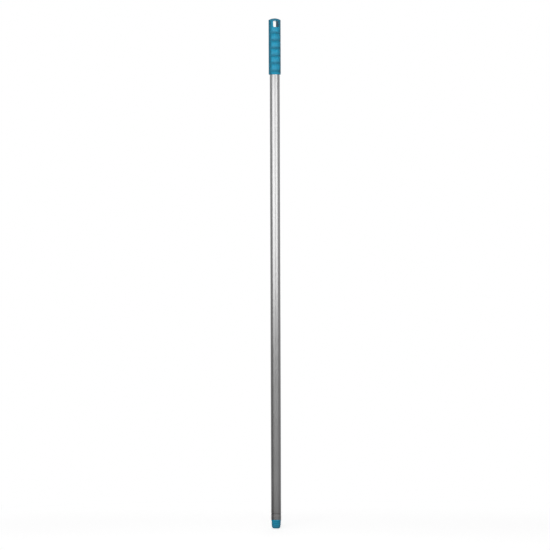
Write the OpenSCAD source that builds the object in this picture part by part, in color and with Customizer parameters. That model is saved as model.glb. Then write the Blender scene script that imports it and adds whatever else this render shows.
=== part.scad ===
// Rigid pole handle: a drawn tube with a moulded hand grip on top and a moulded screw end below

/* [Pole] */
// Height of the whole pole, from the screw tip to the crown of the grip
pole_length = 1300; // [700:10:2000]
// Outside diameter of the tube
tube_od = 25.4; // [24:0.1:32]
// Wall of the tube
tube_wall = 1.5; // [1:0.1:2]
// Chamfer on the outer edge of each tube end
tube_chamfer = 0.5; // [0.2:0.1:0.7]

/* [Rolled grooves] */
// Depth to which the tube wall is rolled in
groove_depth = 0.3; // [0.15:0.05:0.6]
// Width of a rolled groove at the tube's surface
groove_width = 7; // [5:0.5:9]
// Width of the level floor of a rolled groove
groove_floor = 1; // [0.5:0.5:3]
// Height of the lower groove's middle above the tube's lower end
lower_groove_height = 15; // [10:0.5:25]

/* [Hand grip] */
// Wall of the grip around the tube
grip_wall = 2.65; // [2:0.05:4]
// Gap all round between the tube and the grip's socket
socket_gap = 0.05; // [0.02:0.01:0.2]
// Chamfer round the mouth of the grip
mouth_chamfer = 1.2; // [0.4:0.1:1.6]
// Height from the mouth of the grip to the middle of the lowest finger hollow
collar_height = 9.5; // [8:0.5:15]
// Height from the middle of the highest finger hollow to the crown
head_height = 37; // [34:0.5:50]
// Radius of the crown over the top of the grip
crown_radius = 30; // [24:1:60]

/* [Finger hollows] */
// Number of finger pads up the grip, with a hollow below and above each
pad_count = 5; // [3:1:7]
// Height from the middle of one hollow to the next
pad_pitch = 19.4; // [16:0.2:26]
// Height of a hollow
hollow_height = 14; // [10:0.5:15]
// Depth of a hollow in the middle of the grip's front and back
hollow_depth = 1.2; // [0.5:0.05:1.3]

/* [Hanging slot] */
// Width of the hanging slot
slot_width = 15.2; // [10:0.2:17]
// Height of the hanging slot
slot_length = 16.6; // [12:0.2:18]
// Radius in the corners of the slot
slot_corner = 3; // [1.5:0.1:4]
// Material left between the slot and the crown
slot_bridge = 6; // [5.5:0.1:8]

/* [Screw end] */
// Height of the screw end below the tube
screw_length = 22; // [18:0.5:40]
// Outside diameter of the screw thread at its top
thread_major = 24.4; // [20:0.2:24.6]
// Narrowing of the screw thread's radius from its top down to the nose
thread_taper = 0.5; // [0:0.1:1]
// Depth of the screw thread
thread_depth = 0.8; // [0.6:0.1:2]
// Pitch of the screw thread
thread_pitch = 4.8; // [4:0.1:6]
// Width of the thread at its crest
thread_crest = 1.4; // [0.8:0.1:1.6]
// Width of the thread at its root
thread_root = 3.2; // [2.4:0.1:3.6]
// Height of the rounded nose below the thread
nose_height = 5; // [1.5:0.25:5.5]
// Set-in of the nose's flat end from the thread's core above it
nose_set_in = 5; // [1:0.25:5.5]
// Height of the conical collar between the thread and the tube
cone_height = 3; // [2:0.5:6]
// Step from the tube's surface in to the collar
cone_step = 0.3; // [0.2:0.1:0.5]

/* [Spigot and plug] */
// Length of the screw end's spigot inside the tube
spigot_length = 50; // [35:1:80]
// Number of crush ribs on the spigot
rib_count = 8; // [4:1:12]
// Width of a crush rib
rib_width = 2; // [1:0.5:3]
// Height of a crush rib
rib_height = 0.6; // [0.3:0.1:1]
// Gap all round between the tube's bore and what is pressed into it
bore_gap = 0.03; // [0.02:0.01:0.1]
// Wall of the spigot around its hollow
spigot_wall = 3; // [2:0.5:4]
// Lead-in chamfer on the ends of the spigot and the plug
lead_in = 1; // [0.5:0.1:1.4]
// Thickness of the plug's head on the tube's upper end
plug_head = 2; // [1.5:0.1:4]
// Length of the plug's stem inside the tube
plug_stem = 14; // [8:1:25]

/* [Hidden] */
$fn = 96;
// Overshoot of a cut past the surface that it opens
over = 1;
// Steps in one turn of the thread
turn_steps = 32;
// Depth to which the thread's foot is sunk into its core
thread_sink = 0.5;
// Share of the thread over which each end fades out
thread_fade = 0.15;
// Steps in the rounding of the nose
nose_steps = 6;
// Bend in a hollow's slope, as a share of the hollow's depth and of half its height
bend_depth = 0.6;
bend_height = 0.4;
// Rise of the hollows' form above the grip's surface between two hollows
hollow_over = 0.2;

tube_r = tube_od / 2;
bore_r = tube_r - tube_wall;
tube_bottom = screw_length;

socket_r = tube_r + socket_gap;
grip_r = socket_r + grip_wall;
grip_height = collar_height + pad_count * pad_pitch + head_height;
grip_bottom = pole_length - grip_height;
pads_bottom = grip_bottom + collar_height;
pads_top = pads_bottom + pad_count * pad_pitch;

tube_top = pads_top - plug_head;
lower_groove = tube_bottom + lower_groove_height;
upper_groove = grip_bottom + groove_width / 2;

thread_r = thread_major / 2;
core_r = thread_r - thread_depth;
nose_r = core_r - thread_taper;
cone_bottom = screw_length - cone_height;
cone_top_r = tube_r - cone_step;
spigot_r = bore_r - bore_gap;
spigot_core_r = spigot_r - rib_height;
spigot_top = tube_bottom + spigot_length;
spigot_hollow_r = spigot_core_r - groove_depth - spigot_wall;
thread_bottom = nose_height + thread_root / 2;
thread_top = cone_bottom;
thread_turns = (thread_top - thread_bottom) / thread_pitch;
thread_steps = ceil(thread_turns * turn_steps);

grip_colour = [0.16, 0.52, 0.65];
tube_colour = [0.76, 0.77, 0.78];
plug_colour = [0.25, 0.27, 0.29];

function reversed(points) = [for (i = [len(points) - 1 : -1 : 0]) points[i]];

// Profile of a rolled groove in a wall of radius r, from its lower edge to its upper edge
function groove_points(r, middle) = [
    [r, middle - groove_width / 2],
    [r - groove_depth, middle - groove_floor / 2],
    [r - groove_depth, middle + groove_floor / 2],
    [r, middle + groove_width / 2],
];

module pole_tube() {
    outside = concat(
        [[tube_r - tube_chamfer, tube_bottom], [tube_r, tube_bottom + tube_chamfer]],
        groove_points(tube_r, lower_groove),
        groove_points(tube_r, upper_groove),
        [[tube_r, tube_top - tube_chamfer], [tube_r - tube_chamfer, tube_top]]
    );
    inside = concat(
        [[bore_r, tube_bottom]],
        groove_points(bore_r, lower_groove),
        groove_points(bore_r, upper_groove),
        [[bore_r, tube_top]]
    );
    color(tube_colour)
        rotate_extrude()
            polygon(concat(outside, reversed(inside)));
}

// Profile of one finger hollow, from its lower edge to its upper edge
function hollow_points(middle) = [
    for (corner = [[-1, -hollow_over], [-bend_height, bend_depth * hollow_depth], [0, hollow_depth]])
        [grip_r - corner[1], middle + corner[0] * hollow_height / 2],
    for (corner = [[bend_height, bend_depth * hollow_depth], [1, -hollow_over]])
        [grip_r - corner[1], middle + corner[0] * hollow_height / 2],
];

// Round form with all the hollows, widened across so that they run out at the grip's sides
module hollow_form() {
    outer_r = grip_r + hollow_over;
    hollows = [for (i = [0 : pad_count]) each hollow_points(pads_bottom + i * pad_pitch)];
    scale([grip_r / (grip_r - hollow_depth), 1, 1])
        rotate_extrude()
            polygon(concat(
                [[0, grip_bottom - over], [outer_r, grip_bottom - over]],
                hollows,
                [[outer_r, pole_length + over], [0, pole_length + over]]
            ));
}

// Plain round form of the grip, with a chamfered mouth and a domed crown
module grip_form() {
    intersection() {
        rotate_extrude()
            polygon([
                [0, grip_bottom],
                [grip_r - mouth_chamfer, grip_bottom],
                [grip_r, grip_bottom + mouth_chamfer],
                [grip_r, pole_length],
                [0, pole_length],
            ]);
        union() {
            translate([0, 0, pole_length - crown_radius])
                sphere(r = crown_radius);
            translate([0, 0, grip_bottom - over])
                cylinder(r = grip_r + over, h = grip_height - crown_radius + over);
        }
    }
}

// Upright slot with rounded corners, through the grip's head from front to back
module hanging_slot() {
    depth = 2 * (grip_r + over);
    side = slot_width / 2 - slot_corner;
    rise = slot_length / 2 - slot_corner;
    translate([0, 0, pole_length - slot_bridge - slot_length / 2])
        rotate([90, 0, 0]) {
            for (x = [-side, side])
                for (y = [-rise, rise])
                    translate([x, y, 0])
                        cylinder(r = slot_corner, h = depth, center = true);
            cube([slot_width, 2 * rise, depth], center = true);
            cube([2 * side, slot_length, depth], center = true);
        }
}

// Bore for the tube, with a lip that snaps into the tube's upper groove
module tube_socket() {
    rotate_extrude()
        polygon(concat(
            [[0, grip_bottom - over], [socket_r, grip_bottom - over]],
            groove_points(socket_r, upper_groove),
            [[socket_r, pads_top], [0, pads_top]]
        ));
}

module hand_grip() {
    color(grip_colour)
        difference() {
            intersection() {
                grip_form();
                hollow_form();
            }
            hanging_slot();
            tube_socket();
        }
}

// Height of the thread above its core at a share of its length, fading out at both ends
function thread_rise(share) =
    let (fade = min(1, share / thread_fade, (1 - share) / thread_fade))
    fade * (thread_depth + thread_sink / 2) - thread_sink / 2;

// Corners of the thread's section at one step along its helix
function thread_section(step) =
    let (
        share = step / thread_steps,
        turn = 360 * thread_turns * share,
        middle = thread_bottom + thread_pitch * thread_turns * share,
        here_r = core_r - thread_taper * (1 - share),
        foot_r = here_r - thread_sink,
        crest_r = here_r + thread_rise(share)
    )
    [
        for (corner = [
            [foot_r, -thread_root / 2],
            [crest_r, -thread_crest / 2],
            [crest_r, thread_crest / 2],
            [foot_r, thread_root / 2],
        ])
            [corner[0] * cos(turn), corner[0] * sin(turn), middle + corner[1]]
    ];

module screw_thread() {
    corners = len(thread_section(0));
    points = [for (step = [0 : thread_steps]) each thread_section(step)];
    sides = [
        for (step = [0 : thread_steps - 1])
            for (i = [0 : corners - 1])
                let (j = (i + 1) % corners, here = step * corners, next = here + corners)
                [here + i, here + j, next + j, next + i]
    ];
    first_end = [for (i = [0 : corners - 1]) corners - 1 - i];
    last_end = [for (i = [0 : corners - 1]) thread_steps * corners + i];
    polyhedron(points, concat(sides, [first_end, last_end]));
}

// Rounded profile of the nose, from its flat end out to the thread's core
function nose_points() = [
    for (i = [0 : nose_steps])
        let (turn = 90 * i / nose_steps)
        [nose_r - nose_set_in * (1 - sin(turn)), nose_height * (1 - cos(turn))]
];

// Round body of the screw end, from its nose up to the spigot's top
module screw_body() {
    rotate_extrude()
        polygon(concat(
            [[0, 0]],
            nose_points(),
            [
                [core_r, cone_bottom - thread_depth],
                [thread_r, cone_bottom],
                [cone_top_r, tube_bottom],
                [spigot_core_r, tube_bottom],
                [spigot_core_r, spigot_top - lead_in],
                [spigot_core_r - lead_in, spigot_top],
                [0, spigot_top],
            ]
        ));
}

module crush_ribs() {
    intersection() {
        translate([0, 0, tube_bottom])
            cylinder(r = spigot_r, h = spigot_length - 2 * lead_in);
        for (i = [0 : rib_count - 1])
            rotate([0, 0, i * 360 / rib_count])
                translate([0, -rib_width / 2, tube_bottom - over])
                    cube([tube_r, rib_width, spigot_length + over]);
    }
}

module thread_insert() {
    color(grip_colour)
        difference() {
            union() {
                screw_body();
                crush_ribs();
                screw_thread();
            }
            rotate_extrude()
                polygon(concat(
                    [[tube_r, lower_groove - groove_width / 2]],
                    groove_points(spigot_r, lower_groove),
                    [[tube_r, lower_groove + groove_width / 2]]
                ));
            translate([0, 0, tube_bottom])
                cylinder(r = spigot_hollow_r, h = spigot_length + over);
        }
}

module tube_plug() {
    stem_bottom = tube_top - plug_stem;
    head_r = tube_r - tube_chamfer;
    color(plug_colour)
        rotate_extrude()
            polygon([
                [0, stem_bottom],
                [spigot_r - lead_in, stem_bottom],
                [spigot_r, stem_bottom + lead_in],
                [spigot_r, tube_top],
                [head_r, tube_top],
                [head_r, pads_top],
                [0, pads_top],
            ]);
}

pole_tube();
hand_grip();
thread_insert();
tube_plug();
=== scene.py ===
"""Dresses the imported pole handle: a satin tube, a hand grip with finger hollows and a threaded end."""

import math

import bmesh
import bpy
from bpy.props import FloatProperty, FloatVectorProperty, IntProperty, PointerProperty
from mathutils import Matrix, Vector


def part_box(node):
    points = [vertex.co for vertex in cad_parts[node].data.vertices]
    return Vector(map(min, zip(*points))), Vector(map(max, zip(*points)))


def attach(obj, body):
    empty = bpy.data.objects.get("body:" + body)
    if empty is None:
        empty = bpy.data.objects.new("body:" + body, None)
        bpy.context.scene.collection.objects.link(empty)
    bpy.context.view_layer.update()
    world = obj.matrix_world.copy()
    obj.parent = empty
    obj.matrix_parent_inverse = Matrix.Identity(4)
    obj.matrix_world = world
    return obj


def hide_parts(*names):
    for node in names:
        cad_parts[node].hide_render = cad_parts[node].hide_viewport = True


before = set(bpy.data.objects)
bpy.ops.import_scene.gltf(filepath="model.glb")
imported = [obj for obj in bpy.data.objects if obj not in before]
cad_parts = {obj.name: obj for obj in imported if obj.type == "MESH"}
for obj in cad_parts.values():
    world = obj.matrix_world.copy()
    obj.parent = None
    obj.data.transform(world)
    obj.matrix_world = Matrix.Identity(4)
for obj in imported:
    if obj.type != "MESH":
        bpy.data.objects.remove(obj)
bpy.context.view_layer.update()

bl_info = {
    "name": "Pole Handle Maker",
    "version": (1, 0, 0),
    "blender": (4, 5, 0),
    "location": "View3D > Sidebar > Pole",
    "description": "Models a tube with a hand grip and a threaded end, and sets up its studio",
    "category": "Add Mesh",
}

MM = 0.001
FULL_TURN = 2 * math.pi
# Distance under which two vertices are one
WELD = 0.005 * MM
# Angle over which an edge is shaded as a crease
CREASE = math.radians(40)
# Flat share of the radius of a moulding's gate mark
GATE_FLOOR = 0.7
# Places of the Mix node's colour sockets, whose names it also uses for numbers and vectors
MIX_FIRST, MIX_SECOND, MIX_RESULT = 6, 7, 2

TUBE_LOW, TUBE_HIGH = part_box("pole_tube")
GRIP_LOW, GRIP_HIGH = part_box("hand_grip")
SCREW_LOW, SCREW_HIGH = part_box("thread_insert")


def length(name, description, default, low=0.0):
    """A size in metres that shows in the scene's own unit."""
    return FloatProperty(
        name=name, description=description, default=default, min=low, unit="LENGTH", precision=5
    )


def angle(name, description, default):
    """An angle, given in degrees."""
    return FloatProperty(
        name=name, description=description, default=math.radians(default), subtype="ANGLE"
    )


def count(name, description, default, low):
    """A number of like features."""
    return IntProperty(name=name, description=description, default=default, min=low)


def level(name, description, default):
    """A level of light."""
    return FloatProperty(name=name, description=description, default=default, min=0.0)


def colour(name, description, default):
    """A linear colour."""
    return FloatVectorProperty(
        name=name, description=description, default=default, min=0.0, max=1.0, subtype="COLOR"
    )


class TubeSizes(bpy.types.PropertyGroup):
    """Sizes of the drawn tube and its two rolled grooves."""

    radius: length("Radius", "Outside radius of the tube", TUBE_HIGH.x)
    wall: length("Wall", "Wall of the tube", 1.5 * MM)
    bottom: length("Bottom", "Height of the tube's lower end", TUBE_LOW.z)
    top: length("Top", "Height of the tube's upper end", TUBE_HIGH.z)
    edge: length("Edge", "Radius on the edges of the tube's ends", 0.4 * MM)
    groove_depth: length("Groove depth", "Depth to which the wall is rolled in", 0.3 * MM)
    groove_width: length("Groove width", "Width of a rolled groove", 7 * MM)
    groove_floor: length("Groove floor", "Width of a groove's level floor", 1 * MM)
    lower_groove: length("Lower groove", "Height of the lower groove's middle", TUBE_LOW.z + 15 * MM)


class GripSizes(bpy.types.PropertyGroup):
    """Sizes of the hand grip, its finger hollows and its hanging slot."""

    radius: length("Radius", "Outside radius of the grip", GRIP_HIGH.x)
    socket: length("Socket", "Radius of the socket for the tube", TUBE_HIGH.x + 0.05 * MM)
    mouth: length("Mouth", "Height of the grip's lower end", GRIP_LOW.z)
    crown: length("Crown", "Height of the middle of the crown", GRIP_HIGH.z)
    crown_radius: length("Crown radius", "Radius of the domed crown", 30 * MM)
    crown_edge: length("Crown edge", "Radius round the edge of the crown", 1.2 * MM)
    mouth_edge: length("Mouth edge", "Radius round the outside of the mouth", 1.9 * MM)
    socket_edge: length("Socket edge", "Radius round the inside of the mouth", 0.25 * MM)
    collar_height: length("Collar", "Height from the mouth to the lowest hollow", 9.5 * MM)
    pad_count: count("Pads", "Number of finger pads", 5, 1)
    pad_pitch: length("Pad pitch", "Height from one hollow to the next", 19.4 * MM)
    hollow_depth: length("Hollow depth", "Depth of a hollow in the middle of the front", 1.2 * MM)
    valley: length("Valley", "Half height of the rounding in a hollow's bottom", 1.5 * MM)
    slot_width: length("Slot width", "Width of the hanging slot", 15.2 * MM)
    slot_length: length("Slot length", "Height of the hanging slot", 16.6 * MM)
    slot_corner: length("Slot corner", "Radius in the corners of the slot", 3 * MM)
    slot_bridge: length("Slot bridge", "Material between the slot and the crown", 6 * MM)
    slot_edge: length("Slot edge", "Rounding round the slot's rim", 0.6 * MM)
    seam: length("Seam", "Height of the mould's parting line", 0.08 * MM)


class ScrewSizes(bpy.types.PropertyGroup):
    """Sizes of the threaded end and its spigot."""

    tip: length("Tip", "Height of the flat tip", SCREW_LOW.z, -1.0)
    shoulder: length("Shoulder", "Height of the shoulder under the tube", TUBE_LOW.z)
    top: length("Top", "Height of the spigot's top", SCREW_HIGH.z)
    thread_radius: length("Thread radius", "Outside radius of the thread at its top", 12.2 * MM)
    thread_taper: length("Thread taper", "Narrowing of the thread's radius down to the nose", 0.5 * MM)
    thread_depth: length("Thread depth", "Depth of the thread", 0.8 * MM)
    pitch: length("Pitch", "Pitch of the thread", 4.8 * MM)
    crest: length("Crest", "Width of the thread at its crest", 1.4 * MM)
    root: length("Root", "Width of the thread at its root", 3.2 * MM)
    nose: length("Nose", "Height of the rounded nose", 5 * MM)
    nose_set_in: length("Nose set-in", "Set-in of the tip from the thread's core", 5 * MM)
    cone: length("Cone", "Height of the conical collar", 3 * MM)
    cone_radius: length("Cone radius", "Radius of the collar at its top", 12.4 * MM)
    spigot_radius: length("Spigot radius", "Radius of the spigot's ribs", 11.17 * MM)
    spigot_hollow: length("Spigot hollow", "Radius of the spigot's hollow", 7.27 * MM)
    lead_in: length("Lead-in", "Chamfer on the spigot's top", 1 * MM)
    rib_count: count("Ribs", "Number of crush ribs", 8, 1)
    rib_width: length("Rib width", "Width of a crush rib", 2 * MM)
    rib_height: length("Rib height", "Height of a crush rib", 0.6 * MM)


class Finishes(bpy.types.PropertyGroup):
    """Colours of the pole's finishes."""

    anodised: colour("Anodised tube", "Colour of the satin anodised tube", (0.605, 0.605, 0.605))
    teal: colour("Teal plastic", "Colour of the grip and the threaded end", (0.006, 0.315, 0.51))
    plug: colour("Plug", "Colour of the plug inside the tube", (0.05, 0.055, 0.06))


class Studio(bpy.types.PropertyGroup):
    """Camera and light."""

    turn: angle("Turn", "Turn of the camera and the lights round the pole", -17)
    lean: angle("Lean", "Lean of the pole in the picture", 0.185)
    distance: length("Camera distance", "Distance from the camera to the pole", 10.0)
    view_height: length("View height", "Height of the picture at the pole", 1.4022)
    aim_height: length("Aim height", "Height of the picture's middle", 0.6459)
    aim_side: length("Aim side", "Offset of the picture's middle to the right", -0.00095, -1.0)
    box_glow: level("Softbox glow", "Radiance of the softboxes", 1.43)
    front_glow: level("Front glow", "Radiance of the front lamp", 10.6)
    back_glow: level("Back glow", "Radiance of the back lamp", 6.0)
    top_glow: level("Top glow", "Radiance of the overhead lamp", 1.3)
    fill: level("Fill", "Level of the light from all round", 0.2)


class Shade:
    """A shader socket that takes part in sums: each operator adds a Math node to its tree."""

    def __init__(self, tree, socket=None):
        self.tree = tree
        self.socket = socket

    def add(self, kind, settings=None, sockets=None, out=0):
        """Adds a node of any kind: its settings first, then the values or links of its sockets."""
        node = self.tree.nodes.new(kind)
        for key, value in (settings or {}).items():
            setattr(node, key, value)
        for key, value in (sockets or {}).items():
            if isinstance(value, Shade):
                self.tree.links.new(value.socket, node.inputs[key])
            else:
                node.inputs[key].default_value = value
        return Shade(self.tree, node.outputs[out] if node.outputs else None)

    def beside(self, out):
        """Another output of the same node."""
        return Shade(self.tree, self.socket.node.outputs[out])

    def math(self, operation, *values):
        return self.add("ShaderNodeMath", {"operation": operation}, dict(enumerate(values)))

    def __add__(self, other):
        return self.math("ADD", self, other)

    def __radd__(self, other):
        return self.math("ADD", other, self)

    def __sub__(self, other):
        return self.math("SUBTRACT", self, other)

    def __rsub__(self, other):
        return self.math("SUBTRACT", other, self)

    def __mul__(self, other):
        return self.math("MULTIPLY", self, other)

    def __rmul__(self, other):
        return self.math("MULTIPLY", other, self)

    def __truediv__(self, other):
        return self.math("DIVIDE", self, other)

    def __rtruediv__(self, other):
        return self.math("DIVIDE", other, self)

    def __pow__(self, other):
        return self.math("POWER", self, other)

    def __rpow__(self, other):
        return self.math("POWER", other, self)

    def __abs__(self):
        return self.math("ABSOLUTE", self)

    def at_least(self, other):
        return self.math("MAXIMUM", self, other)

    def at_most(self, other):
        return self.math("MINIMUM", self, other)

    def ramp(self, low, high, start=0.0, end=1.0):
        """Goes smoothly from start at low to end at high."""
        return self.add(
            "ShaderNodeMapRange",
            {"interpolation_type": "SMOOTHSTEP"},
            {"Value": self, "From Min": low, "From Max": high, "To Min": start, "To Max": end},
        )

    def tint(self, first, second):
        """A colour between two colours."""
        sockets = {"Factor": self, MIX_FIRST: rgba(first), MIX_SECOND: rgba(second)}
        return self.add("ShaderNodeMix", {"data_type": "RGBA"}, sockets, out=MIX_RESULT)


def rgba(tone):
    """A colour as a colour socket takes it."""
    return tone if isinstance(tone, Shade) else (*tone[:3], 1.0)


def grey(share):
    """A neutral colour."""
    return share, share, share


def scaled(tone, share):
    """A lighter or darker shade of a colour."""
    return [min(1.0, part * share) for part in tone[:3]]


def new_surface(name):
    """An empty material and the start of its nodes."""
    material = bpy.data.materials.new(name)
    material.use_nodes = True
    material.node_tree.nodes.clear()
    return material, Shade(material.node_tree)


def object_place(start):
    """The object coordinates of a surface."""
    return start.add("ShaderNodeTexCoord", out="Object")


def bumps(start, relief, strength, depth):
    """The normal of a surface with a fine relief."""
    sockets = {"Strength": strength, "Distance": depth, "Height": relief}
    return start.add("ShaderNodeBump", sockets=sockets)


def close_surface(start, **sockets):
    """Ends a material in a Principled shader, whose sockets are named in small letters."""
    named = {}
    for key, value in sockets.items():
        named[key.replace("_", " ").title().replace("Ior", "IOR")] = value
    shader = start.add("ShaderNodeBsdfPrincipled", sockets=named)
    start.add("ShaderNodeOutputMaterial", sockets={"Surface": shader})


def noise(start, place, scale, stretch=(1, 1, 1), detail=2.0):
    """Noise on object coordinates, with its grain stretched."""
    sizes = [scale * part for part in stretch]
    spread = start.add("ShaderNodeMapping", sockets={"Vector": place, "Scale": sizes})
    return start.add("ShaderNodeTexNoise", sockets={"Vector": spread, "Scale": 1.0, "Detail": detail})


def round_pole(start, place):
    """The way out from the pole's axis in X and Y, then the radius and the height of a place."""
    x = start.add("ShaderNodeSeparateXYZ", sockets={"Vector": place}, out="X")
    y, height = x.beside("Y"), x.beside("Z")
    radius = (x * x + y * y) ** 0.5
    return x / radius, y / radius, radius, height


def satin_anodised(tone, tube_radius, groove):
    """Drawn and anodised tube: fine lines along it, soft clouds in the oxide, and painted shade in the
    lower rolled groove, which is also smoother.
    """
    material, start = new_surface("satin_anodised_aluminium")
    out_x, out_y, _, height = round_pole(start, object_place(start))
    outside = {"X": tube_radius * out_x, "Y": tube_radius * out_y, "Z": height}
    skin = start.add("ShaderNodeCombineXYZ", sockets=outside)
    lines = noise(start, skin, scale=2400.0, stretch=(1, 1, 0.002), detail=3.0).ramp(0.3, 0.7)
    bands = noise(start, skin, scale=420.0, stretch=(1, 1, 0.004)).ramp(0.2, 0.8)
    clouds = noise(start, skin, scale=45.0, stretch=(1, 1, 0.35), detail=3.0).ramp(0.25, 0.75)
    # Painted shade: the lower rolled groove gets a darker copy of the tone, and is also smoother
    painted_shading_and_polish = abs(height - groove).ramp(1.5 * MM, 3.5 * MM, 1.0, 0.0)
    drawn = 0.45 * lines + 0.35 * bands + 0.2 * clouds
    unshaded_metal = drawn.tint(scaled(tone, 0.9), scaled(tone, 1.1))
    close_surface(
        start,
        # The groove's painted shade over the tube's own lined tone
        base_color=painted_shading_and_polish.tint(unshaded_metal, scaled(tone, 0.84)),
        metallic=1.0,
        roughness=0.28 + 0.05 * lines + 0.05 * clouds - 0.08 * painted_shading_and_polish,
        normal=bumps(start, 0.7 * lines + 0.3 * bands, strength=0.35, depth=0.02 * MM),
    )
    return material


def teal_plastic(name, tone, crest, relief, crown=None, head=None):
    """Moulded plastic: spark grain, faint flow clouds, smoother crests, and painted shade below the
    crests.

    On a grip, which has a crown and a head, painted shade also darkens the sides and, somewhat, the head,
    so that the pads on the front and the back stay lightest; the crown is lifted a little out of the
    shade.
    """
    material, start = new_surface(name)
    place = object_place(start)
    _, facing, radius, height = round_pole(start, place)
    grain = noise(start, place, scale=1800.0).ramp(0.3, 0.7)
    flow = noise(start, place, scale=110.0, stretch=(1, 1, 0.6), detail=4.0).ramp(0.3, 0.7)
    clouds = 0.6 * flow + 0.4 * grain
    # Painted shade: lightest at the crests, darker down into the hollows and anywhere inside the crest's
    # radius
    painted_shading_and_polish = radius.ramp(crest - relief, crest)
    if crown is not None:
        # Painted shade on the sides and the head, lighter pads on the front and the back, a crown lifted
        # a little
        front_and_back = abs(facing).ramp(0.5, 0.78)
        less_on_head = height.ramp(head - 3 * MM, head + 3 * MM, 1.0, 0.6)
        on_crown = height.ramp(crown - 1 * MM, crown + 1 * MM, 0.0, 0.3)
        painted_shading_and_polish = (painted_shading_and_polish * front_and_back * less_on_head).at_least(on_crown)
    # A darker copy of the tone for the painted shade, and the unshaded tone
    painted_shade = clouds.tint(scaled(tone, 0.55), scaled(tone, 0.63))
    unshaded_tone = clouds.tint(scaled(tone, 0.95), scaled(tone, 1.05))
    close_surface(
        start,
        base_color=painted_shading_and_polish.tint(painted_shade, unshaded_tone),
        roughness=0.5 - 0.14 * painted_shading_and_polish + 0.08 * (grain - 0.5),
        specular_ior_level=0.5,
        normal=bumps(start, grain, strength=0.6, depth=0.06 * MM),
    )
    return material


def plug_plastic(tone):
    """Dull grey plastic of the hidden plug."""
    material, start = new_surface("plug_grey_plastic")
    place = object_place(start)
    clouds = noise(start, place, scale=120.0)
    grain = noise(start, place, scale=1800.0)
    close_surface(
        start,
        base_color=clouds.tint(scaled(tone, 0.85), scaled(tone, 1.15)),
        roughness=0.5 + 0.1 * (grain - 0.5),
        normal=bumps(start, grain, strength=0.3, depth=0.03 * MM),
    )
    return material


def clipped(share):
    """A share held between 0 and 1."""
    return max(0.0, min(1.0, share))


def smooth(share):
    """Eases a share between 0 and 1 with level ends."""
    share = clipped(share)
    return share * share * (3 - 2 * share)


def arc(middle, radii, start, end, steps):
    """Points round an arc of a circle or an upright ellipse in the half section, angles in degrees."""
    across, up = radii
    turns = [math.radians(start + (end - start) * i / steps) for i in range(steps + 1)]
    return [(middle[0] + across * math.cos(a), middle[1] + up * math.sin(a)) for a in turns]


def line(first, last, steps):
    """Points along a straight line, without its first end."""
    return [
        tuple(a + (b - a) * i / steps for a, b in zip(first, last)) for i in range(1, steps + 1)
    ]


def draw_section(name, points):
    """Draws a half section in the XZ plane, point by point, and leaves it selected in edit mode."""
    bpy.ops.object.select_all(action="DESELECT")
    bpy.ops.mesh.primitive_plane_add(size=MM)
    piece = bpy.context.object
    piece.name = piece.data.name = name
    bpy.ops.object.mode_set(mode="EDIT")
    bpy.ops.mesh.merge(type="CENTER")
    bpy.ops.transform.translate(value=(points[0][0], 0, points[0][1]))
    for before, after in zip(points, points[1:]):
        step = (after[0] - before[0], 0, after[1] - before[1])
        bpy.ops.mesh.extrude_vertices_move(TRANSFORM_OT_translate={"value": step})
    bpy.ops.mesh.select_all(action="SELECT")
    return piece


def weld():
    """Merges the doubles of the mesh that is being edited and turns its faces outwards."""
    bpy.ops.mesh.select_all(action="SELECT")
    bpy.ops.mesh.remove_doubles(threshold=WELD)
    bpy.ops.mesh.normals_make_consistent(inside=False)


def spin_section(steps, sweep=FULL_TURN):
    """Spins the section that is being edited round the pole's axis."""
    bpy.ops.mesh.spin(steps=steps, angle=sweep, center=(0, 0, 0), axis=(0, 0, 1))
    weld()


def finish_piece(piece, node, material):
    """Shades a piece, gives it its finish and puts it in its node's place."""
    piece.data.materials.clear()
    piece.data.materials.append(material)
    bpy.ops.object.shade_smooth_by_angle(angle=CREASE)
    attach(piece, "root")
    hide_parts(node)


def groove_dip(off, tube):
    """How far a rolled groove goes in at a height off its middle."""
    half, floor = tube.groove_width / 2, tube.groove_floor / 2
    return tube.groove_depth * smooth((half - abs(off)) / (half - floor))


def groove_section(radius, middle, tube, steps=14):
    """A rolled groove in a wall of a radius, from its lower edge to its upper edge."""
    half = tube.groove_width / 2
    offs = [half * (2 * i / steps - 1) for i in range(steps + 1)]
    return [(radius - groove_dip(off, tube), middle + off) for off in offs]


class POLE_OT_make_tube(bpy.types.Operator):
    """Model the drawn tube with its rolled grooves"""

    bl_idname = "pole.make_tube"
    bl_label = "Make Tube"

    def execute(self, context):
        sizes, grip = context.scene.pole_tube, context.scene.pole_grip
        piece = draw_section("satin_tube", self.section(sizes, grip))
        spin_section(144)
        bpy.ops.object.mode_set(mode="OBJECT")
        tone = context.scene.pole_finishes.anodised
        # Painted shade in the lower rolled groove
        material = satin_anodised(tone, sizes.radius, sizes.lower_groove)
        finish_piece(piece, "pole_tube", material)
        return {"FINISHED"}

    def section(self, sizes, grip):
        """Closed section of the wall, up its outside and down its bore."""
        r, bore, edge = sizes.radius, sizes.radius - sizes.wall, sizes.edge
        low, high = sizes.bottom, sizes.top
        lower, upper = sizes.lower_groove, grip.mouth + sizes.groove_width / 2
        outside = arc((r - edge, low + edge), (edge, edge), -90, 0, steps=5)
        outside += groove_section(r, lower, sizes)
        outside += line(outside[-1], (r, grip.mouth), steps=24)
        outside += groove_section(r, upper, sizes)[1:]
        outside += arc((r - edge, high - edge), (edge, edge), 0, 90, steps=5)
        inside = [(bore, high)]
        inside += groove_section(bore, upper, sizes)[::-1]
        inside += groove_section(bore, lower, sizes)[::-1]
        inside += [(bore, low)]
        return outside + inside + outside[:1]


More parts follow.
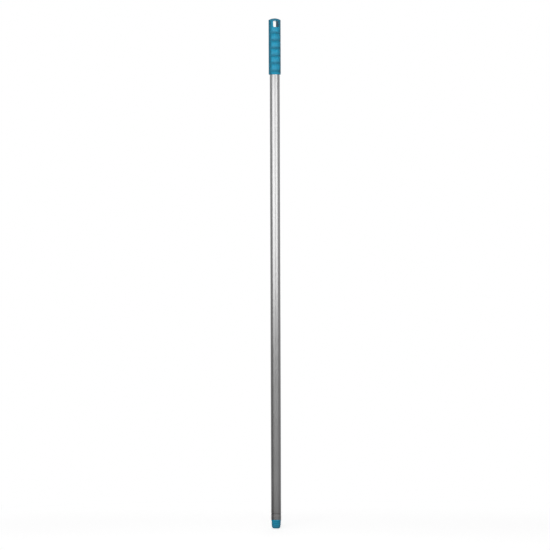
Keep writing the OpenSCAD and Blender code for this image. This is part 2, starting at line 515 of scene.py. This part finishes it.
def hollow_share(sizes, z):
    """Share of a hollow's depth at a height: barrel-shaped pads with a rounded valley between two."""
    lowest = sizes.mouth + sizes.collar_height
    if z > lowest + (sizes.pad_count + 0.5) * sizes.pad_pitch:
        return 0.0
    off = abs(2 * ((z - lowest) / sizes.pad_pitch % 1) - 1)
    bend = 2 * sizes.valley / sizes.pad_pitch
    return off * off / (1 - bend) if off < 1 - bend else 1 - (1 - off) ** 2 / bend


def crown_section(sizes, steps=22):
    """The domed crown from its gate mark to the head's side, and the height where the side begins."""
    gate, gate_depth = 1.6 * MM, 0.25 * MM
    r, edge, dome = sizes.radius, sizes.crown_edge, sizes.crown_radius
    middle, floor = sizes.crown - dome, sizes.crown - gate_depth
    side = middle + math.sqrt((dome - edge) ** 2 - (r - edge) ** 2)
    lean = math.atan2(side - middle, r - edge)
    reach = dome * math.cos(lean)
    points = [(0, floor), (GATE_FLOOR * gate, floor)]
    for i in range(steps):
        x = gate + (reach - gate) * i / steps
        points.append((x, middle + math.sqrt(dome * dome - x * x)))
    points += arc((r - edge, side), (edge, edge), math.degrees(lean), 0, steps=6)
    return points, side


def grip_section(sizes, tube):
    """Half section of the grip, down its outside, round its mouth and past the snap lip up its socket."""
    below_slot, head_rows, pad_rows = 5 * MM, 44, 170
    r, mouth, outer, inner = sizes.radius, sizes.mouth, sizes.mouth_edge, sizes.socket_edge
    roof = mouth + sizes.collar_height + sizes.pad_count * sizes.pad_pitch
    neck = sizes.crown - sizes.slot_bridge - sizes.slot_length - below_slot
    points, side = crown_section(sizes)
    points += line((r, side), (r, neck), head_rows)
    points += line((r, neck), (r, mouth + outer), pad_rows)
    points += arc((r - outer, mouth + outer), (outer, outer), 0, -90, steps=8)[1:]
    points += arc((sizes.socket + inner, mouth + inner), (inner, inner), -90, -180, steps=3)
    points += groove_section(sizes.socket, mouth + tube.groove_width / 2, tube)[1:]
    points += [(sizes.socket, roof), (0, roof)]
    return points, side


class SlotForm:
    """The hanging slot in the front view: an upright opening with rounded corners and a rounded rim."""

    def __init__(self, sizes):
        self.radius, self.edge, self.corner = sizes.radius, sizes.slot_edge, sizes.slot_corner
        self.half = sizes.slot_width / 2, sizes.slot_length / 2
        self.middle = sizes.crown - sizes.slot_bridge - sizes.slot_length / 2
        self.low = self.middle - self.half[1] - self.edge

    def outline(self, turn, grow=0.0):
        """The point of the opening, grown by a rim, at a turn from straight down round its middle."""
        tiny = 1e-9
        way = Vector((math.sin(turn), -math.cos(turn)))
        half = [size + grow for size in self.half]
        corner = self.corner + grow
        reach = min(size / max(abs(part), tiny) for size, part in zip(half, way))
        knee = Vector([math.copysign(size - corner, part) for size, part in zip(half, way)])
        if all(abs(reach * part) > abs(bend) for part, bend in zip(way, knee)):
            near = way.dot(knee)
            reach = near + math.sqrt(near * near - knee.length_squared + corner * corner)
        return reach * way.x, self.middle + reach * way.y

    def turn_of(self, place):
        """The turn at which a point lies in the front view."""
        return math.atan2(place.x, self.middle - place.z) % FULL_TURN

    def inside(self, place):
        """True for a point that lies inside the rim in the front view."""
        rim_x, rim_z = self.outline(self.turn_of(place), self.edge)
        return math.hypot(place.x, place.z - self.middle) < math.hypot(rim_x, rim_z - self.middle)

    def is_on_side(self, place):
        """True for a point that lies on the round side of the grip."""
        slack = 0.05 * MM
        return abs(math.hypot(place.x, place.y) - self.radius) < slack

    def to_side(self, x, z):
        """A point of the front view carried onto the grip's side."""
        return Vector((x, -math.sqrt(self.radius ** 2 - x * x), z))

    def rim(self, turn):
        """The point of the rim on the grip's side at a turn."""
        return self.to_side(*self.outline(turn, self.edge))

    def path(self, turn, bends, rows):
        """Points from the rim into the slot: round its edge, then straight to the grip's middle."""
        outer, inner = self.rim(turn), self.to_side(*self.outline(turn))
        inner.y += self.edge
        out = Vector((outer.x, outer.y, 0)).normalized()
        along = inner - outer
        along = (along - along.dot(out) * out).normalized()
        pull = 0.6 * self.edge
        handles = outer, outer + pull * along, inner + Vector((0, -pull, 0)), inner
        points = []
        for i in range(bends + 1):
            t = i / bends
            shares = (1 - t) ** 3, 3 * t * (1 - t) ** 2, 3 * t * t * (1 - t), t ** 3
            points.append(sum((share * handle for share, handle in zip(shares, handles)), Vector()))
        depths = [inner.y * (1 - i / rows) for i in range(1, rows + 1)]
        return points + [Vector((inner.x, depth, inner.z)) for depth in depths]


def ordered_loop(edges):
    """The vertices of one closed ring of edges, in order."""
    links = {}
    for edge in edges:
        for a, b in (edge.verts, reversed(edge.verts)):
            links.setdefault(a, []).append(b)
    loop = [min(links, key=lambda v: (v.co.z, v.co.x))]
    before = None
    while len(loop) < len(links):
        here = loop[-1]
        loop.append(next(v for v in links[here] if v is not before))
        before = here
    if len(set(loop)) < len(links):
        raise RuntimeError("the edges of the slot's rim are not one closed ring")
    return loop


def even_turns(turns, rounds):
    """Evens out the steps between turns that go once round a loop, either way."""
    pairs = zip(turns, turns[1:] + turns[:1])
    steps = [(after - before + math.pi) % FULL_TURN - math.pi for before, after in pairs]
    whole = math.copysign(FULL_TURN, sum(steps))
    flat = [turns[0] + sum(steps[:i]) for i in range(len(turns))]
    for _ in range(rounds):
        ring = [flat[-1] - whole] + flat + [flat[0] + whole]
        flat = [ring[i] / 2 + (ring[i - 1] + ring[i + 1]) / 4 for i in range(1, len(turns) + 1)]
    return flat


def open_slot(piece, sizes, side):
    """Cuts the slot's rim out of the front half of the grip and extrudes it inwards to the middle."""
    form = SlotForm(sizes)
    turns = cut_rim(piece, form, side)
    extrude_along(piece, [form.path(turn, bends=7, rows=8) for turn in turns])


def cut_rim(piece, form, side, rounds=30):
    """Deletes the faces inside the slot's rim, fits and selects the hole's edge and gives its turns."""
    front = -form.radius / 2
    bpy.ops.mesh.select_mode(type="FACE")
    bpy.ops.mesh.select_all(action="DESELECT")
    edit = bmesh.from_edit_mesh(piece.data)
    for face in edit.faces:
        middle = face.calc_center_median()
        face.select_set(middle.y < front and form.is_on_side(middle) and form.inside(middle))
    bpy.ops.mesh.delete(type="FACE")

    bpy.ops.mesh.select_mode(type="VERT")
    edit = bmesh.from_edit_mesh(piece.data)
    hole = [e for e in edit.edges if e.is_boundary and all(v.co.y < front for v in e.verts)]
    loop = ordered_loop(hole)
    turns = even_turns([form.turn_of(v.co) for v in loop], rounds)
    for vertex, turn in zip(loop, turns):
        vertex.co = form.rim(turn)
    relax_side(edit, form, set(loop), side)

    for vertex in edit.verts:
        vertex.select_set(False)
    for vertex in loop:
        vertex.select_set(True)
    edit.select_flush(True)
    bmesh.update_edit_mesh(piece.data)
    return turns


def spot(place):
    """A place in whole steps of the weld distance, which finds a vertex again after an extrusion."""
    return tuple(round(part / WELD) for part in place)


def extrude_along(piece, paths):
    """Extrudes the selected ring step by step, each vertex along the path that starts there."""
    stages = list(zip(*paths))
    for here, there in zip(stages, stages[1:]):
        goals = {spot(before): after for before, after in zip(here, there)}
        bpy.ops.mesh.extrude_edges_move()
        edit = bmesh.from_edit_mesh(piece.data)
        for vertex in edit.verts:
            if vertex.select:
                vertex.co = goals[spot(vertex.co)]
        bmesh.update_edit_mesh(piece.data)


def relax_side(edit, form, fixed, side, rounds=25):
    """Evens out the faces round the slot's rim, with every vertex kept on the grip's side."""
    radius = form.radius
    lowest, highest, front = form.low - 4 * MM, side - 0.02 * MM, -radius / 3
    movable = [
        v for v in edit.verts
        if v not in fixed and not v.is_boundary and form.is_on_side(v.co)
        and v.co.y < front and lowest < v.co.z < highest
    ]
    for _ in range(rounds):
        places = {}
        for vertex in movable:
            near = [e.other_vert(vertex).co for e in vertex.link_edges]
            turn = sum(math.atan2(p.x, -p.y) for p in near) / len(near)
            z = sum(p.z for p in near) / len(near)
            own = math.atan2(vertex.co.x, -vertex.co.y)
            turn, z = (turn + own) / 2, (z + vertex.co.z) / 2
            places[vertex] = Vector((radius * math.sin(turn), -radius * math.cos(turn), z))
        for vertex, place in places.items():
            vertex.co = place


class POLE_OT_make_grip(bpy.types.Operator):
    """Model the hand grip with its finger hollows and its hanging slot"""

    bl_idname = "pole.make_grip"
    bl_label = "Make Grip"

    def execute(self, context):
        sizes = context.scene.pole_grip
        points, side = grip_section(sizes, context.scene.pole_tube)
        piece = draw_section("hand_grip_moulding", points)
        spin_section(72, math.pi)
        open_slot(piece, sizes, side)
        self.press_hollows(piece, sizes)
        self.raise_seam(piece, sizes)
        bpy.ops.object.mode_set(mode="OBJECT")
        mirror = piece.modifiers.new("other_half", "MIRROR")
        mirror.use_axis = (False, True, False)
        mirror.merge_threshold = WELD
        bpy.ops.object.modifier_apply(modifier=mirror.name)
        bpy.ops.object.mode_set(mode="EDIT")
        weld()
        bpy.ops.object.mode_set(mode="OBJECT")
        tone = context.scene.pole_finishes.teal
        head = sizes.crown - sizes.slot_bridge - sizes.slot_length
        # Painted shade in the grip's hollows, on its sides, its head and its crown
        material = teal_plastic(
            "teal_grip_plastic", tone, sizes.radius, sizes.hollow_depth, crown=side, head=head
        )
        finish_piece(piece, "hand_grip", material)
        return {"FINISHED"}

    def press_hollows(self, piece, sizes):
        """Presses the finger hollows into the front, running out to nothing at the sides."""
        side, front, skin = 0.2, 0.8, 0.2
        edit = bmesh.from_edit_mesh(piece.data)
        for vertex in edit.verts:
            radius = math.hypot(vertex.co.x, vertex.co.y)
            wall = (radius - sizes.socket) / (sizes.radius - sizes.socket)
            if wall > skin:
                facing = smooth((abs(vertex.co.y) / radius - side) / (front - side))
                depth = sizes.hollow_depth * hollow_share(sizes, vertex.co.z) * facing * min(wall, 1.0)
                vertex.co.x *= 1 - depth / radius
                vertex.co.y *= 1 - depth / radius
        bmesh.update_edit_mesh(piece.data)

    def raise_seam(self, piece, sizes):
        """Raises the parting line of the mould along both sides of the grip."""
        from_socket = 0.5 * MM
        edit = bmesh.from_edit_mesh(piece.data)
        for vertex in edit.verts:
            if abs(vertex.co.y) < WELD and abs(vertex.co.x) > sizes.socket + from_socket:
                vertex.co.x += math.copysign(sizes.seam, vertex.co.x)
        bmesh.update_edit_mesh(piece.data)


class ScrewForm:
    """The threaded end: the section it is turned from, and the thread and ribs that stand out of it."""

    def __init__(self, sizes, tube):
        self.sizes, self.tube = sizes, tube
        self.nose_top = sizes.tip + sizes.nose
        self.thread_low = self.nose_top + sizes.root / 2
        self.thread_high = sizes.shoulder - sizes.cone
        self.neck = self.thread_high - sizes.thread_depth
        self.spigot = sizes.spigot_radius - sizes.rib_height

    def core(self, z):
        """Radius of the thread's core at a height."""
        sizes = self.sizes
        share = clipped((self.neck - z) / (self.neck - self.nose_top))
        return sizes.thread_radius - sizes.thread_depth - sizes.thread_taper * share

    def section(self):
        """Half section without the thread and the ribs, from the tip's middle to the spigot's floor."""
        return self.nose_section() + self.collar_section() + self.spigot_section()

    def nose_section(self, steps=14, rows=110):
        """From the gate mark in the tip round the nose and up the thread's core to the neck."""
        sizes = self.sizes
        gate, gate_depth = 1.5 * MM, 0.3 * MM
        floor, set_in = sizes.tip + gate_depth, sizes.nose_set_in
        flat = self.core(self.nose_top) - set_in
        points = [(0, floor), (GATE_FLOOR * gate, floor), (gate, sizes.tip)]
        points += arc((flat, self.nose_top), (set_in, sizes.nose), -90, 0, steps)
        points += line(points[-1], (self.core(self.neck), self.neck), rows)
        return points

    def collar_section(self, steps=12):
        """From the neck over the conical collar to its rim under the tube."""
        sizes = self.sizes
        depth, rim_height, rim_set_in = sizes.thread_depth, 0.3 * MM, 0.1 * MM
        shares = [i / steps for i in range(1, steps + 1)]
        points = [(self.core(self.neck) + depth * smooth(t), self.neck + depth * t) for t in shares]
        points += line(points[-1], (sizes.cone_radius, sizes.shoulder - rim_height), steps=4)
        points += [(sizes.cone_radius - rim_set_in, sizes.shoulder)]
        return points

    def spigot_section(self):
        """Up the spigot, past the seat of the rolled groove, and down its hollow to the floor."""
        sizes, tube, r = self.sizes, self.tube, self.spigot
        hollow, hollow_edge = sizes.spigot_hollow, 0.5 * MM
        seat = groove_section(sizes.spigot_radius, tube.lower_groove, tube)
        seat = [(min(x, r), z) for x, z in seat]
        points = [(r, sizes.shoulder)]
        points += line(points[0], seat[0], steps=3)
        points += seat[1:]
        points += line(seat[-1], (r, sizes.top - sizes.lead_in), steps=6)
        points += [(r - sizes.lead_in, sizes.top), (hollow + hollow_edge, sizes.top)]
        points += [(hollow, sizes.top - hollow_edge), (hollow, sizes.shoulder), (0, sizes.shoulder)]
        return points

    def pressed(self, radius, turn, z):
        """The radius that the thread or a rib gives to a point of the turned form."""
        sizes = self.sizes
        rib_end, rib_reach = 1.5 * MM, 2 * MM
        if radius < sizes.spigot_hollow + WELD:
            return radius
        if z < sizes.shoulder - WELD:
            return max(radius, min(radius, self.core(z)) + self.thread_lift(turn, z))
        on_spigot = radius > sizes.spigot_radius - rib_reach
        along_rib = sizes.shoulder + WELD < z < sizes.top - rib_end
        if on_spigot and along_rib and self.is_on_rib(radius, turn):
            return sizes.spigot_radius - groove_dip(z - self.tube.lower_groove, self.tube)
        return radius

    def is_on_rib(self, radius, turn):
        """True for a turn at which one of the crush ribs stands."""
        part = turn * self.sizes.rib_count
        off = abs(part - round(part)) / self.sizes.rib_count * FULL_TURN * radius
        return off < self.sizes.rib_width / 2

    def thread_lift(self, turn, z):
        """How far the thread stands out at a turn and a height, fading out at both ends."""
        fade, sizes = 0.15, self.sizes
        whole = round((z - self.thread_low) / sizes.pitch - turn)
        middle = self.thread_low + sizes.pitch * (whole + turn)
        share = (middle - self.thread_low) / (self.thread_high - self.thread_low)
        if not 0 <= share <= 1:
            return 0.0
        flank = (sizes.root - sizes.crest) / 2
        rise = smooth((sizes.root / 2 - abs(z - middle)) / flank)
        run_out = smooth(min(1.0, share / fade, (1 - share) / fade))
        return sizes.thread_depth * rise * run_out


class POLE_OT_make_screw_end(bpy.types.Operator):
    """Model the threaded end with its nose, collar and ribbed spigot"""

    bl_idname = "pole.make_screw_end"
    bl_label = "Make Screw End"

    def execute(self, context):
        sizes = context.scene.pole_screw
        form = ScrewForm(sizes, context.scene.pole_tube)
        piece = draw_section("threaded_end", form.section())
        spin_section(128)
        bpy.ops.object.mode_set(mode="OBJECT")
        for vertex in piece.data.vertices:
            x, y, z = vertex.co
            radius = math.hypot(x, y)
            turn = math.atan2(y, x) / FULL_TURN % 1
            new = form.pressed(radius, turn, z)
            if new != radius:
                vertex.co.x, vertex.co.y = x * new / radius, y * new / radius
        tone = scaled(context.scene.pole_finishes.teal, 0.82)
        # Painted shade darkens the thread below its crests, over this depth, and the narrower nose
        relief = 2.5 * sizes.thread_depth
        material = teal_plastic("teal_screw_plastic", tone, sizes.thread_radius, relief)
        finish_piece(piece, "thread_insert", material)
        return {"FINISHED"}


class POLE_OT_finish_plug(bpy.types.Operator):
    """Give the hidden plug its finish"""

    bl_idname = "pole.finish_plug"
    bl_label = "Finish Plug"

    def execute(self, context):
        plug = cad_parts["tube_plug"]
        plug.data.materials.clear()
        plug.data.materials.append(plug_plastic(context.scene.pole_finishes.plug))
        return {"FINISHED"}


def seen_directly(start):
    """1 where the stage is seen directly, in a reflection or through glass, and 0 where it lights."""
    camera = start.add("ShaderNodeLightPath", out="Is Camera Ray")
    seen = camera + camera.beside("Is Glossy Ray") + camera.beside("Is Transmission Ray")
    return seen.at_most(1.0)


def place_round(turn, distance, height):
    """A place at a turn round the pole."""
    return distance * math.sin(turn), -distance * math.cos(turn), height


def hang_light(name, radiance, size, place, tilt, turn):
    """Hangs an area light of an even radiance, hidden from the camera."""
    data = bpy.data.lights.new(name, "AREA")
    data.shape = "RECTANGLE"
    data.size, data.size_y = size
    data.energy = radiance * math.pi * data.size * data.size_y
    light = bpy.data.objects.new(name, data)
    bpy.context.scene.collection.objects.link(light)
    light.location = place
    light.rotation_euler = tilt, 0, turn
    light.visible_camera = False
    return light


class POLE_OT_set_stage(bpy.types.Operator):
    """Set up the floor, the light and the camera"""

    bl_idname = "pole.set_stage"
    bl_label = "Set Stage"

    def execute(self, context):
        studio = context.scene.pole_studio
        self.lay_floor()
        self.hang_cards(studio)
        self.hang_softboxes(studio)
        self.hang_lamps(studio)
        self.light_world(context.scene, studio)
        self.place_camera(context.scene, studio)
        context.scene.view_settings.view_transform = "Standard"
        return {"FINISHED"}

    def lay_floor(self):
        """A white floor that takes the pole's shadow and runs out into the white of the room."""
        reach, drop, white_from, white_at = 4.0, 0.2 * MM, 0.32, 1.2
        paint_share, glow = 0.9, 0.57
        bpy.ops.object.select_all(action="DESELECT")
        bpy.ops.mesh.primitive_circle_add(
            vertices=96, radius=reach, fill_type="NGON", location=(0, 0, -drop)
        )
        floor = bpy.context.object
        floor.name = "floor"
        material, start = new_surface("white_floor")
        _, _, radius, _ = round_pole(start, object_place(start))
        seen = seen_directly(start)
        paint = start.add("ShaderNodeBsdfDiffuse", sockets={"Color": rgba(grey(paint_share))})
        white = start.add("ShaderNodeEmission", sockets={"Color": rgba(grey(1.0))})
        faint = start.add("ShaderNodeEmission", sockets={"Color": rgba(grey(glow))})
        lit = start.add("ShaderNodeAddShader", sockets={0: paint, 1: faint})
        near = start.add("ShaderNodeMixShader", sockets={0: seen, 1: paint, 2: lit})
        far = seen * radius.ramp(white_from, white_at)
        whole = start.add("ShaderNodeMixShader", sockets={0: far, 1: near, 2: white})
        start.add("ShaderNodeOutputMaterial", sockets={"Surface": whole})
        floor.data.materials.append(material)

    def hang_cards(self, studio):
        """Grey cards round and under the pole, which shape its reflections.

        Each has its sides in degrees, its section, the stretch over which its grey changes, upwards or,
        on the floor, outwards, and its first and last grey.
        """
        left, right, front, rear = (-112, -58), (57, 112), (-58, 57), (112, 248)
        wall, base, split, high, near = 1.75, 0.003, 0.7, 2.6, 0.02
        roof, ring = [(wall, high), (0.3, 2.9)], [(near, base), (wall, base)]
        outwards = (0.3, 1.5)
        cards = [
            ("left_card", left, [(wall, base), *roof], (0.0, 1.3), (0.07, 0.36)),
            ("right_card", right, [(wall, base), *roof], (0.0, 1.1), (0.16, 0.4)),
            ("rear_card", rear, [(wall, base), *roof], (0.0, 1.3), (0.3, 0.45)),
            ("low_card", front, [(wall, base), (wall, split)], (0.0, split), (0.25, 0.36)),
            ("high_card", front, [(wall, split), *roof], (split, high), (0.4, 0.1)),
            ("left_floor", left, ring, outwards, (0.05, 0.3)),
            ("right_floor", right, ring, outwards, (0.13, 0.4)),
            ("rear_floor", rear, ring, outwards, (0.26, 0.6)),
            ("front_floor", front, ring, outwards, (0.22, 0.56)),
        ]
        for name, (first_side, last_side), points, stretch, (first, last) in cards:
            card = draw_section(name, points)
            spin_section(24, -math.radians(last_side - first_side))
            bpy.ops.object.mode_set(mode="OBJECT")
            card.rotation_euler.z = studio.turn + math.radians(first_side - 90)
            material, start = new_surface(name + "_grey")
            _, _, radius, height = round_pole(start, object_place(start))
            along = radius if points is ring else height
            tone = along.ramp(*stretch).tint(grey(first), grey(last))
            glow = start.add("ShaderNodeEmission", sockets={"Color": tone})
            start.add("ShaderNodeOutputMaterial", sockets={"Surface": glow})
            card.data.materials.append(material)
            card.visible_camera = card.visible_diffuse = False
            card.visible_shadow = card.visible_transmission = False

    def hang_softboxes(self, studio):
        """Two upright softboxes in front, with a gap for the camera between them, and one behind.

        Each has its sides in degrees and its share of the glow, and shows only in reflections.
        """
        distance, low, high = 1.05, 0.56, 1.38
        boxes = {
            "left_softbox": (-60, -3, 1.0),
            "right_softbox": (11, 57, 1.0),
            "back_softbox": (158, 202, 0.8),
        }
        for name, (start, end, share) in boxes.items():
            size = 2 * distance * math.tan(math.radians(end - start) / 2), high - low
            turn = studio.turn + math.radians(start + end) / 2
            place = place_round(turn, distance, (low + high) / 2)
            box = hang_light(name, share * studio.box_glow, size, place, math.pi / 2, turn)
            box.visible_diffuse = False

    def hang_lamps(self, studio):
        """Broad lamps in front, behind and overhead, which light the colours and show in no reflection.

        Each has its glow, its side in degrees, its distance, its height and its tilt in degrees.
        """
        size = 1.4, 1.4
        lamps = {
            "front_lamp": (studio.front_glow, -7, 3.0, 0.5, 90),
            "back_lamp": (studio.back_glow, 180, 3.0, 0.5, 90),
            "top_lamp": (studio.top_glow, 0, 0.0, 2.7, 0),
        }
        for name, (glow, side, distance, height, tilt) in lamps.items():
            turn = studio.turn + math.radians(side)
            place = place_round(turn, distance, height)
            lamp = hang_light(name, glow, size, place, math.radians(tilt), turn)
            lamp.visible_glossy = False

    def light_world(self, scene, studio):
        """A room that looks white and lights the pole faintly from all round."""
        scene.world = bpy.data.worlds.new("white_room")
        scene.world.use_nodes = True
        scene.world.node_tree.nodes.clear()
        start = Shade(scene.world.node_tree)
        room = seen_directly(start).tint(grey(studio.fill), grey(1.0))
        light = start.add("ShaderNodeBackground", sockets={"Color": room})
        start.add("ShaderNodeOutputWorld", sockets={"Surface": light})

    def place_camera(self, scene, studio):
        """A level camera, turned with the lights, that leans the pole a little."""
        data = bpy.data.cameras.new("camera")
        camera = bpy.data.objects.new("camera", data)
        scene.collection.objects.link(camera)
        data.sensor_width = 36.0
        data.lens = data.sensor_width * studio.distance / studio.view_height
        data.clip_end = 10 * studio.distance
        right = Vector((math.cos(studio.turn), math.sin(studio.turn), 0))
        place = Vector(place_round(studio.turn, studio.distance, studio.aim_height))
        camera.location = place + studio.aim_side * right
        camera.rotation_euler = math.pi / 2, studio.lean, studio.turn
        scene.camera = camera


class POLE_PT_maker(bpy.types.Panel):
    """Lists the pole's pieces and its stage."""

    bl_idname = "POLE_PT_maker"
    bl_label = "Pole Handle"
    bl_space_type = "VIEW_3D"
    bl_region_type = "UI"
    bl_category = "Pole"

    def draw(self, context):
        for name, (group, operator) in GROUPS.items():
            box = self.layout.box()
            box.label(text=name)
            settings = getattr(context.scene, group)
            for key in settings.__annotations__:
                box.prop(settings, key)
            box.operator(operator)


GROUPS = {
    "Tube": ("pole_tube", "pole.make_tube"),
    "Grip": ("pole_grip", "pole.make_grip"),
    "Screw end": ("pole_screw", "pole.make_screw_end"),
    "Finishes": ("pole_finishes", "pole.finish_plug"),
    "Studio": ("pole_studio", "pole.set_stage"),
}
SETTINGS = {
    "pole_tube": TubeSizes,
    "pole_grip": GripSizes,
    "pole_screw": ScrewSizes,
    "pole_finishes": Finishes,
    "pole_studio": Studio,
}
CLASSES = [
    *SETTINGS.values(),
    POLE_OT_make_tube,
    POLE_OT_make_grip,
    POLE_OT_make_screw_end,
    POLE_OT_finish_plug,
    POLE_OT_set_stage,
    POLE_PT_maker,
]


def register():
    for cls in CLASSES:
        bpy.utils.register_class(cls)
    for name, group in SETTINGS.items():
        setattr(bpy.types.Scene, name, PointerProperty(type=group))


def unregister():
    for name in SETTINGS:
        delattr(bpy.types.Scene, name)
    for cls in reversed(CLASSES):
        bpy.utils.unregister_class(cls)


def main():
    register()
    bpy.ops.pole.set_stage()
    bpy.ops.pole.make_tube()
    bpy.ops.pole.make_grip()
    bpy.ops.pole.make_screw_end()
    bpy.ops.pole.finish_plug()


if __name__ == "__main__":
    main()
